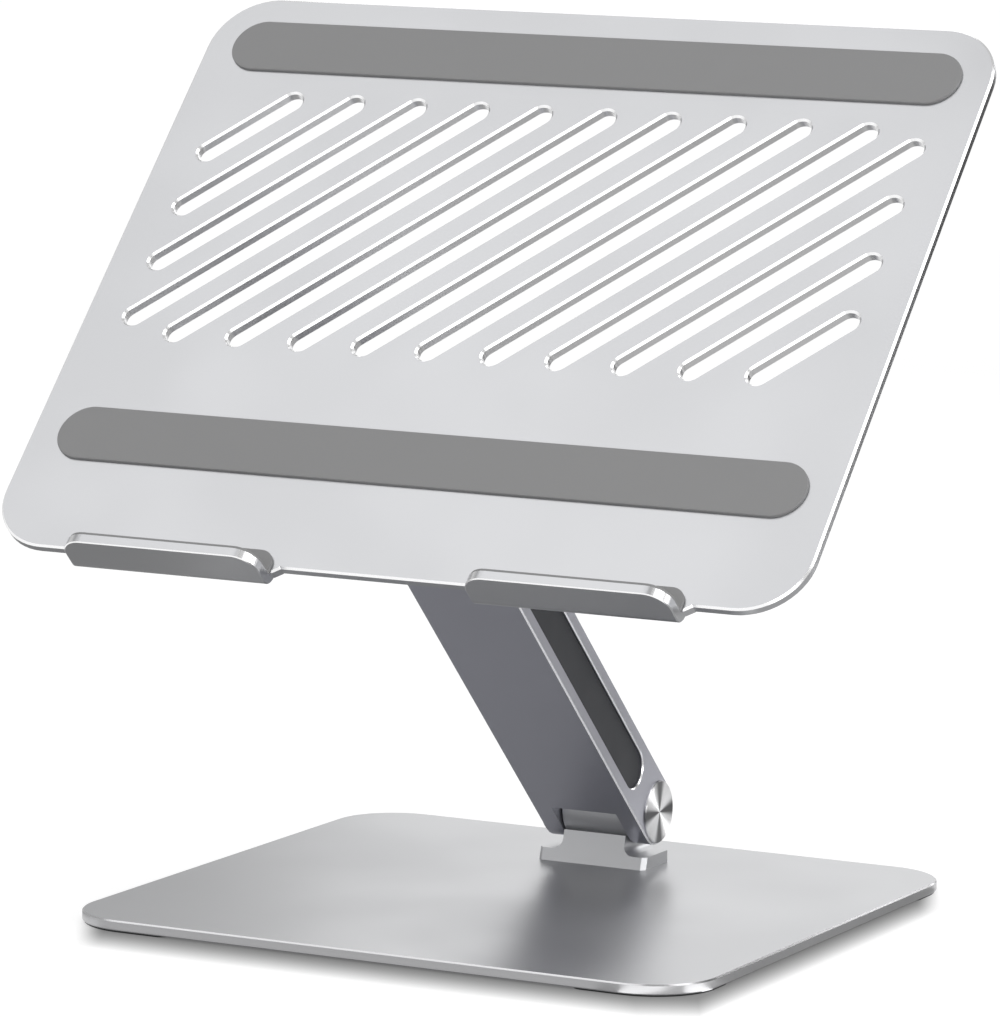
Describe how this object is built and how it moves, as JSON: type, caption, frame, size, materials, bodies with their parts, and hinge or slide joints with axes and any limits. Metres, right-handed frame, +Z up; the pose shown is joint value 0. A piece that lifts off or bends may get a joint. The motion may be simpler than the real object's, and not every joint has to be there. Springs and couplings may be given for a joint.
{
  "type": "laptop stand",
  "caption": "Folding aluminium laptop stand: flat base plate, leaning arm on friction hinges and a slotted tilting tray with front hooks and grey silicone pads.",
  "frame": {"origin": "on the desk, below the middle of the bounding box in the stored pose", "axes": "+X to the right as seen from the user's side, +Y to the back, +Z up"},
  "size_m": [0.27, 0.2106, 0.2727],
  "materials": {
    "satin_aluminium": "satin anodised, bright cut edges",
    "spun_aluminium": "spun bright",
    "dark_inlay": "matte dark grey",
    "grey_silicone": "matte grey silicone",
    "black_rubber": "matte black",
    "steel": "plain turned",
    "bush_bronze": "plain",
    "washer_plastic": "matte dark"
  },
  "bodies": {
    "base": {"base_plate": "satin_aluminium", "base_feet": "black_rubber", "base_bracket": "satin_aluminium", "base_bracket_screws": "steel", "base_hinge_bushes": "bush_bronze", "base_friction_washers": "washer_plastic"},
    "arm": {"arm_body": "satin_aluminium", "arm_inlay_left": "dark_inlay", "arm_inlay_right": "dark_inlay", "base_hinge_pin": "steel", "base_hinge_springs": "steel", "base_hinge_nut": "steel", "base_cap_left": "spun_aluminium", "base_cap_right": "spun_aluminium", "tray_hinge_pin": "steel", "tray_hinge_springs": "steel", "tray_hinge_nut": "steel", "tray_cap_left": "spun_aluminium", "tray_cap_right": "spun_aluminium"},
    "tray": {"tray_plate": "satin_aluminium", "front_pad": "grey_silicone", "rear_pad": "grey_silicone", "hook_pad_left": "grey_silicone", "hook_pad_right": "grey_silicone", "tray_bracket": "satin_aluminium", "tray_bracket_screws": "steel", "tray_hinge_bushes": "bush_bronze", "tray_friction_washers": "washer_plastic"}
  },
  "joints": [
    {"name": "base_hinge", "type": "hinge", "parent": "base", "child": "arm", "pos_m": [0, 0.06735, 0.02086], "axis": [1, 0, 0], "range_deg": [-37.04, 42.96]},
    {"name": "tray_hinge", "type": "hinge", "parent": "arm", "child": "tray", "pos_m": [0, -0.04986, 0.13001], "axis": [1, 0, 0], "range_deg": [-89.63, 14.77]}
  ]
}
